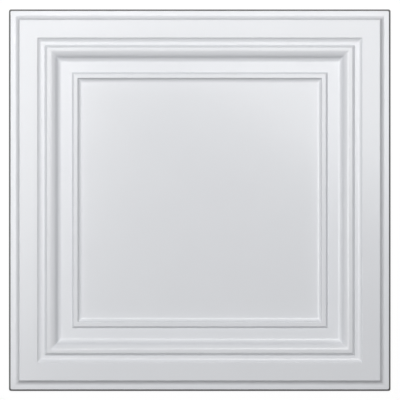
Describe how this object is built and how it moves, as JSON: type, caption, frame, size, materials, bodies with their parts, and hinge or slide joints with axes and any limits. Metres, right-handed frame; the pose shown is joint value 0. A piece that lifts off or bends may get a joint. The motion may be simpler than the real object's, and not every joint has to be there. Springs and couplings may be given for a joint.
{
  "type": "pvc ceiling tile",
  "caption": "Square lay-in PVC ceiling tile with a thin outer flange, a raised border and stepped mouldings down to a flat centre panel.",
  "frame": {"origin": "middle of the square, on the plane that the back of the centre panel lies on", "axes": "+Z out of the moulded face, towards the room; X and Y along the sides"},
  "size_m": [0.603, 0.603, 0.0166],
  "materials": {
    "white_pvc": "satin"
  },
  "bodies": {
    "root": {"ceiling_tile": "white_pvc"}
  },
  "joints": []
}
